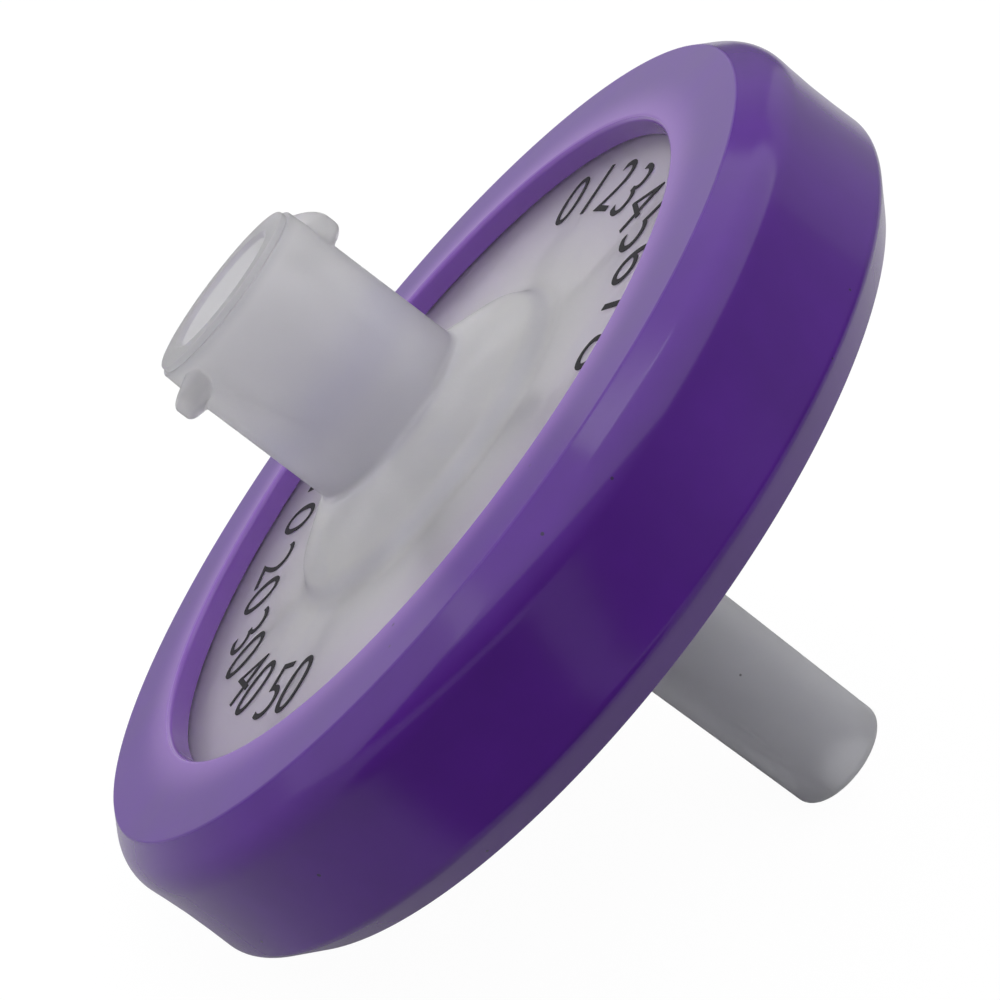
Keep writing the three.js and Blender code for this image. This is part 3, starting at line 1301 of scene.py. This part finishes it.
@dataclass
class InletHousing:
    """The inlet housing with its luer-lock port. Sizes in millimetres."""

    stack: Stack
    place: FlowFrame
    socket_radius: float = 2.15
    luer_taper: float = 0.06
    socket_floor_wall: float = 1.86
    socket_end_fillet: float = 0.15
    orifice_radius: float = 0.8
    orifice_fillet: float = 0.08
    mouth_chamfer: float = 0.15
    mouth_fillet: float = 0.05
    port_wall: float = 1.1
    port_draft: float = 0.05
    port_fillet: float = 0.3
    lead_in: tuple = (0.05, 1.0)
    end_fillet: float = 0.07
    lip_inset: float = 0.14
    lip_height: float = 0.2
    lip_fillet: float = 0.06
    ear_height: float = 0.62
    ear_root_width: float = 1.0
    ear_crest_width: float = 0.3
    ear_lead: float = 5.0
    ear_starts: float = 2.0
    ear_depth: float = 1.44
    ear_direction: float = 20.4
    ear_before: float = 16.0
    ear_after: float = 45.0
    ear_end: tuple = (16.0, 0.25, 0.5)
    ear_embed: float = 0.3
    ear_foot_blend: float = 0.06
    segments: int = 288
    ear_rows: float = 0.035
    rib_count: int = 8
    rib_width: float = 0.5
    rib_height: float = 0.5
    rib_start: float = 2.2
    rib_end_gap: float = 1.1
    mouth: float = field(init=False)

    def __post_init__(self) -> None:
        """Reads the mouth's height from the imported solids."""
        self.mouth = self.place.height_of("inlet_mouth")

    def outline(self) -> Outline:
        """Works out the housing's half section.

        Returns:
            The half section, without the ears.
        """
        s = self.stack
        port = self.socket_radius + self.port_wall
        lead_in = port - self.lead_in[0]
        lip = lead_in - self.lip_inset
        wall_end = self.mouth - self.lip_height
        floor = s.chamber_half_depth + self.socket_floor_wall
        socket_end = self.socket_radius - self.luer_taper * (self.mouth - floor) / 2
        return Outline(
            [
                Corner(self.orifice_radius, s.chamber_half_depth, self.orifice_fillet),
                Corner(s.chamber_radius, s.chamber_half_depth),
                Corner(s.chamber_radius, s.clamp),
                Corner(s.seat_radius, s.clamp),
                Corner(s.seat_radius, s.seam),
                Corner(s.tongue_middle - s.tongue_width / 2, s.seam),
                Corner(s.tongue_middle - s.tongue_width / 2, s.seam - s.tongue_height),
                Corner(s.tongue_middle + s.tongue_width / 2, s.seam - s.tongue_height),
                Corner(s.tongue_middle + s.tongue_width / 2, s.seam),
                Corner(s.flange_radius, s.seam),
                Corner(s.flange_radius, s.face),
                Corner(s.boss_radius + s.boss_draft, s.face, s.boss_fillet),
                Corner(s.boss_radius - s.boss_draft, s.face + s.boss_step, s.boss_fillet),
                Corner(port + self.port_draft, s.face + s.boss_crown_height, self.port_fillet),
                Corner(port, wall_end - self.lead_in[1], self.port_fillet),
                Corner(lead_in, wall_end, self.end_fillet),
                Corner(lip, wall_end),
                Corner(lip, self.mouth, self.lip_fillet),
                Corner(self.socket_radius + self.mouth_chamfer, self.mouth, self.mouth_fillet),
                Corner(self.socket_radius, self.mouth - self.mouth_chamfer, self.mouth_fillet),
                Corner(socket_end, floor, self.socket_end_fillet),
                Corner(self.orifice_radius, floor, self.orifice_fillet),
            ],
            longest=0.9,
        )

    def build(self) -> bpy.types.Object:
        """Builds and dresses the housing.

        Returns:
            The housing.
        """
        port = self.socket_radius + self.port_wall
        low = self.mouth - self.ear_depth - self.ear_root_width - self.ear_lead * self.ear_before / 360
        high = self.mouth - self.lip_height
        wall = port - self.ear_embed
        points = refined(self.outline().points(), lambda p: p.x > wall and low < p.y < high, self.ear_rows)
        values = {
            "Segments": self.segments,
            "Ear base radius": wall,
            "Ear crest radius": port + self.ear_height,
            "Ear root width": self.ear_root_width,
            "Ear crest width": self.ear_crest_width,
            "Ear height on its direction": self.mouth - self.ear_depth,
            "Lead": self.ear_lead,
            "Starts": self.ear_starts,
            "Direction": self.ear_direction,
            "Degrees before": self.ear_before,
            "Degrees after": self.ear_after,
            "End degrees": self.ear_end[0],
            "End height": self.ear_end[1],
            "End width": self.ear_end[2],
            "Foot blend": self.ear_foot_blend,
        }
        mesh = EaredShape().turn("luer_lock_housing", points, **values)
        piece = dress(mesh, NaturalPlastic(self.place, self.stack, self.mouth), self.place)
        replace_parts(piece, "inlet_housing")
        self.build_ribs()
        return piece

    def build_ribs(self) -> bpy.types.Object:
        """Builds the spreader ribs under the inlet face.

        Returns:
            The ribs, as one piece.
        """
        s = self.stack
        top = s.chamber_half_depth + self.ear_embed
        rib = block_mesh(
            "spreader_rib",
            (self.rib_start, -self.rib_width / 2, s.chamber_half_depth - self.rib_height),
            (s.chamber_radius - self.rib_end_gap, self.rib_width / 2, top),
        )
        turns = {"Count": self.rib_count, "First angle": 0.0, "Angle between": 360 / self.rib_count}
        mesh = BarCircle().grow("spreader_ribs", rib, turns)
        return dress(mesh, NaturalPlastic(self.place, s, self.mouth), self.place)


@dataclass
class OutletHousing:
    """The outlet housing with its luer slip. Sizes in millimetres."""

    stack: Stack
    place: FlowFrame
    slip_tip_radius: float = 1.98
    slip_taper: float = 0.018
    slip_tip_fillet: float = 0.32
    slip_root_fillet: float = 0.3
    bore_radius: float = 1.05
    bore_fillet: float = 0.08
    hub_length: float = 3.4
    hub_step: float = 0.73
    hub_draft: float = 0.15
    hub_fillet: float = 0.3
    segments: int = 240
    ring_first: float = 2.5
    ring_pitch: float = 2.5
    ring_width: float = 0.5
    ring_margin: float = 0.5
    ring_embed: float = 0.3
    channel_count: int = 8
    channel_width: float = 0.9
    tip: float = field(init=False)
    mouth: float = field(init=False)

    def __post_init__(self) -> None:
        """Reads the heights of the tip and of the inlet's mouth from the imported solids."""
        self.tip = self.place.height_of("outlet_tip")
        self.mouth = self.place.height_of("inlet_mouth")

    def outline(self) -> Outline:
        """Works out the housing's half section.

        Returns:
            The half section.
        """
        s = self.stack
        groove_inside = s.tongue_middle - s.tongue_width / 2 - s.seam_gap
        groove_outside = s.tongue_middle + s.tongue_width / 2 + s.seam_gap
        groove_bottom = -s.seam - s.tongue_height - s.seam_gap
        hub_end = -s.ring_top - self.hub_length
        slip_root = self.slip_tip_radius + self.slip_taper * (hub_end - self.tip) / 2
        hub = slip_root + self.hub_step
        return Outline(
            [
                Corner(self.bore_radius, self.tip, self.bore_fillet),
                Corner(self.slip_tip_radius, self.tip, self.slip_tip_fillet),
                Corner(slip_root, hub_end, self.slip_root_fillet),
                Corner(hub, hub_end, self.hub_fillet),
                Corner(hub + self.hub_draft, -s.face - s.boss_crown_height, self.hub_fillet),
                Corner(s.boss_radius - s.boss_draft, -s.face - s.boss_step, s.boss_fillet),
                Corner(s.boss_radius + s.boss_draft, -s.face, s.boss_fillet),
                Corner(s.flange_radius, -s.face),
                Corner(s.flange_radius, -s.seam),
                Corner(groove_outside, -s.seam),
                Corner(groove_outside, groove_bottom),
                Corner(groove_inside, groove_bottom),
                Corner(groove_inside, -s.seam),
                Corner(s.seat_radius, -s.seam),
                Corner(s.seat_radius, -s.clamp),
                Corner(s.chamber_radius, -s.clamp),
                Corner(s.chamber_radius, -s.chamber_half_depth),
                Corner(self.bore_radius, -s.chamber_half_depth, self.bore_fillet),
            ],
            longest=0.9,
        )

    def build(self) -> bpy.types.Object:
        """Builds and dresses the housing.

        Returns:
            The housing.
        """
        mesh = TurnedShape().turn("slip_housing", self.outline().points(), Segments=self.segments)
        piece = dress(mesh, MilkierPlastic(self.place, self.stack, self.mouth), self.place)
        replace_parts(piece, "outlet_housing")
        self.build_support_rings()
        return piece

    def build_support_rings(self) -> bpy.types.Object:
        """Builds the rings under the membrane, which straight channels cut into sectors.

        Returns:
            The rings, as one piece.
        """
        s = self.stack
        room = s.chamber_radius - self.ring_margin - self.ring_width / 2 - self.ring_first
        radii = [self.ring_first + i * self.ring_pitch for i in range(int(room / self.ring_pitch) + 1)]
        sector = 360 / self.channel_count
        heights = (-s.chamber_half_depth - self.ring_embed, -s.clamp)
        bars = sector_mesh("support_sector", radii, self.ring_width, heights, self.channel_width, sector)
        turns = {"Count": self.channel_count, "First angle": 0.0, "Angle between": sector}
        mesh = BarCircle().grow("support_rings", bars, turns)
        return dress(mesh, NaturalPlastic(self.place, s, self.mouth), self.place)


@dataclass(frozen=True)
class Arc:
    """A row of numbers printed along an arc.

    Attributes:
        radius: Distance of the numbers' middles from the flow axis, in millimetres.
        first: Direction of the first number, in degrees.
        step: Angle from one number to the next, in degrees.
        tops_out: Whether the digits' tops point away from the flow axis.
        numbers: The numbers, in order.
    """

    radius: float
    first: float
    step: float
    tops_out: bool
    numbers: Sequence[str]


@dataclass
class FacePrint:
    """Plain numbers printed in two arcs on the inlet face. Sizes in millimetres."""

    stack: Stack
    place: FlowFrame
    thickness: float = 0.02
    gap: float = 0.012
    digit_height: float = 2.2
    digit_share: float = 0.7
    thinning: float = 0.035
    arcs: Sequence[Arc] = (
        Arc(10.35, 44.0, -10.5, True, ("0", "1", "2", "3", "4", "5", "6", "7", "8")),
        Arc(9.6, 136.0, 22.5, False, ("10", "20", "30", "40", "50")),
    )

    def numeral(self, text: str, arc: Arc, degrees: float) -> bpy.types.Mesh:
        """One number, flat on the face.

        Args:
            text: Its digits.
            arc: The arc that it stands in.
            degrees: Direction of its middle.

        Returns:
            The number as a closed mesh.
        """
        curve = bpy.data.curves.new(f"number_{text}", "FONT")
        curve.body = text
        curve.size = self.digit_height / self.digit_share
        curve.offset = -self.thinning
        curve.extrude = self.thickness / 2
        curve.align_x = "CENTER"
        curve.align_y = "CENTER"
        carrier = bpy.data.objects.new(curve.name, curve)
        bpy.context.scene.collection.objects.link(carrier)
        graph = bpy.context.evaluated_depsgraph_get()
        mesh = bpy.data.meshes.new_from_object(carrier.evaluated_get(graph))
        bpy.data.objects.remove(carrier)
        turn = degrees - 90 if arc.tops_out else degrees + 90
        height = self.stack.face + self.gap + self.thickness / 2
        angle = math.radians(degrees)
        spot = Vector((arc.radius * math.cos(angle), arc.radius * math.sin(angle), height))
        mesh.transform(Matrix.Translation(spot) @ Matrix.Rotation(math.radians(turn), 4, "Z"))
        return mesh

    def build(self) -> list[bpy.types.Object]:
        """Builds and dresses each number.

        Returns:
            The numbers, each a piece.
        """
        pieces = []
        for arc in self.arcs:
            for i, text in enumerate(arc.numbers):
                mesh = self.numeral(text, arc, arc.first + i * arc.step)
                mesh.name = f"printed_number_{text}"
                pieces.append(dress(mesh, Ink(), self.place))
        return pieces


# ---------------------------------------------------------------------------------------------------------
# Studio


@dataclass(frozen=True)
class Lamp:
    """A rectangular soft lamp that faces the filter.

    Attributes:
        name: Its name.
        spot: Its place from the aim point, in millimetres.
        size: Its width and its height, in millimetres.
        level: Brightness of its face, where 1 is white.
        turn: Angle that it is turned by in its own plane, in degrees.
    """

    name: str
    spot: Sequence[float]
    size: Sequence[float]
    level: float
    turn: float = 0.0


@dataclass
class Studio:
    """Camera, soft light and white card round the filter. Lengths in millimetres, angles in degrees.

    The surround's levels are its brightness at the height of the eye, higher up, and at least in a
    reflection. It reaches the higher level where its direction rises by the share in horizon_band.
    """

    lamps: Sequence[Lamp] = (
        Lamp("ceiling_panel", (0, -40, 350), (1000, 760), 1.0),
        Lamp("back_panel", (-230, 330, 60), (500, 500), 0.68),
        Lamp("right_panel", (250, 300, 130), (350, 350), 0.22),
        Lamp("left_panel", (-375, -66, 124), (350, 300), 0.95),
        Lamp("strip_lamp", (-105, -25, 335), (6, 130), 9.0, 24),
    )
    horizon_level: float = 0.15
    horizon_band: float = 0.45
    zenith_level: float = 0.48
    gloss_level: float = 0.2
    aim_offset: tuple = (0.64, 0.0, -0.63)
    azimuth: float = 2.97
    elevation: float = 25.73
    roll: float = -6.87
    distance: float = 78.0
    lens: float = 86.1
    sensor: float = 36.0
    nearest: float = 1.0
    card_size: float = 900.0
    card_height: float = -0.02

    def aim(self) -> Vector:
        """The point that the camera looks at, in metres."""
        low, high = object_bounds()
        return (low + high) / 2 + Vector(self.aim_offset) * MM

    def add_camera(self) -> None:
        """Adds the camera."""
        data = bpy.data.cameras.new("camera")
        data.lens = self.lens
        data.sensor_width = self.sensor
        data.clip_start = self.nearest * MM
        camera = bpy.data.objects.new("camera", data)
        bpy.context.scene.collection.objects.link(camera)
        a, e = math.radians(self.azimuth), math.radians(self.elevation)
        back = Vector((math.sin(a) * math.cos(e), -math.cos(a) * math.cos(e), math.sin(e)))
        turn = back.to_track_quat("Z", "Y") @ Matrix.Rotation(math.radians(self.roll), 3, "Z").to_quaternion()
        place = Matrix.Translation(self.aim() + back * self.distance * MM)
        camera.matrix_world = place @ turn.to_matrix().to_4x4()
        bpy.context.scene.camera = camera

    def add_lamp(self, lamp: Lamp) -> None:
        """Adds a lamp, which the camera doesn't see.

        Args:
            lamp: The lamp.
        """
        data = bpy.data.lights.new(lamp.name, "AREA")
        data.shape = "RECTANGLE"
        data.size, data.size_y = (side * MM for side in lamp.size)
        data.energy = lamp.level * math.pi * data.size * data.size_y
        panel = bpy.data.objects.new(lamp.name, data)
        panel.visible_camera = False
        bpy.context.scene.collection.objects.link(panel)
        away = Vector(lamp.spot) * MM
        facing = away.to_track_quat("Z", "Y").to_matrix().to_4x4()
        in_plane = Matrix.Rotation(math.radians(lamp.turn), 4, "Z")
        panel.matrix_world = Matrix.Translation(self.aim() + away) @ facing @ in_plane

    def add_world(self) -> None:
        """Adds a pale surround, which the camera sees as white."""
        world = bpy.data.worlds.new("surround")
        world.use_nodes = True
        world.node_tree.nodes.clear()
        graph = NodeTree(world.node_tree)
        rays = graph.node("ShaderNodeLightPath")
        direct, through, mirrored = (
            Field(graph, rays.outputs[f"Is {kind} Ray"]) for kind in ("Camera", "Transmission", "Glossy")
        )
        seen = direct.at_least(through).at_least(mirrored * self.gloss_level)
        direction = graph.node("ShaderNodeTexCoord").outputs["Generated"]
        upward = graph.node("ShaderNodeSeparateXYZ", Vector=direction).outputs[2]
        steep = graph.math("ABSOLUTE", Field(graph, upward)) / self.horizon_band
        level = steep.at_most(1.0) * (self.zenith_level - self.horizon_level) + self.horizon_level
        glow = graph.node("ShaderNodeBackground", Color=WHITE, Strength=level.at_least(seen))
        graph.node("ShaderNodeOutputWorld", Surface=glow.outputs[0])
        bpy.context.scene.world = world

    def add_card(self) -> None:
        """Adds the white card that the filter lies on."""
        half, z = self.card_size / 2 * MM, self.card_height * MM
        mesh = bpy.data.meshes.new("studio_floor")
        corners = [(-half, -half, z), (half, -half, z), (half, half, z), (-half, half, z)]
        mesh.from_pydata(corners, [], [(0, 1, 2, 3)])
        mesh.materials.append(StudioCard().material())
        card = bpy.data.objects.new("studio_floor", mesh)
        bpy.context.scene.collection.objects.link(card)
        card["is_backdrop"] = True

    def build(self) -> None:
        """Builds the whole studio."""
        self.add_card()
        self.add_world()
        for lamp in self.lamps:
            self.add_lamp(lamp)
        self.add_camera()
        bpy.context.scene.view_settings.view_transform = "Standard"


def main() -> None:
    """Builds the filter's pieces in order, and then the studio."""
    logging.basicConfig(level=logging.INFO, format="%(name)s: %(message)s")
    place = FlowFrame.from_solids()
    stack = Stack()
    Ring(stack, place).build()
    InletHousing(stack, place).build()
    OutletHousing(stack, place).build()
    FacePrint(stack, place).build()
    membrane = frame["nodes"]["filter_membrane"]
    membrane.data.materials.clear()
    membrane.data.materials.append(MembraneSheet().material())
    Studio().build()


if __name__ == "__main__":
    main()
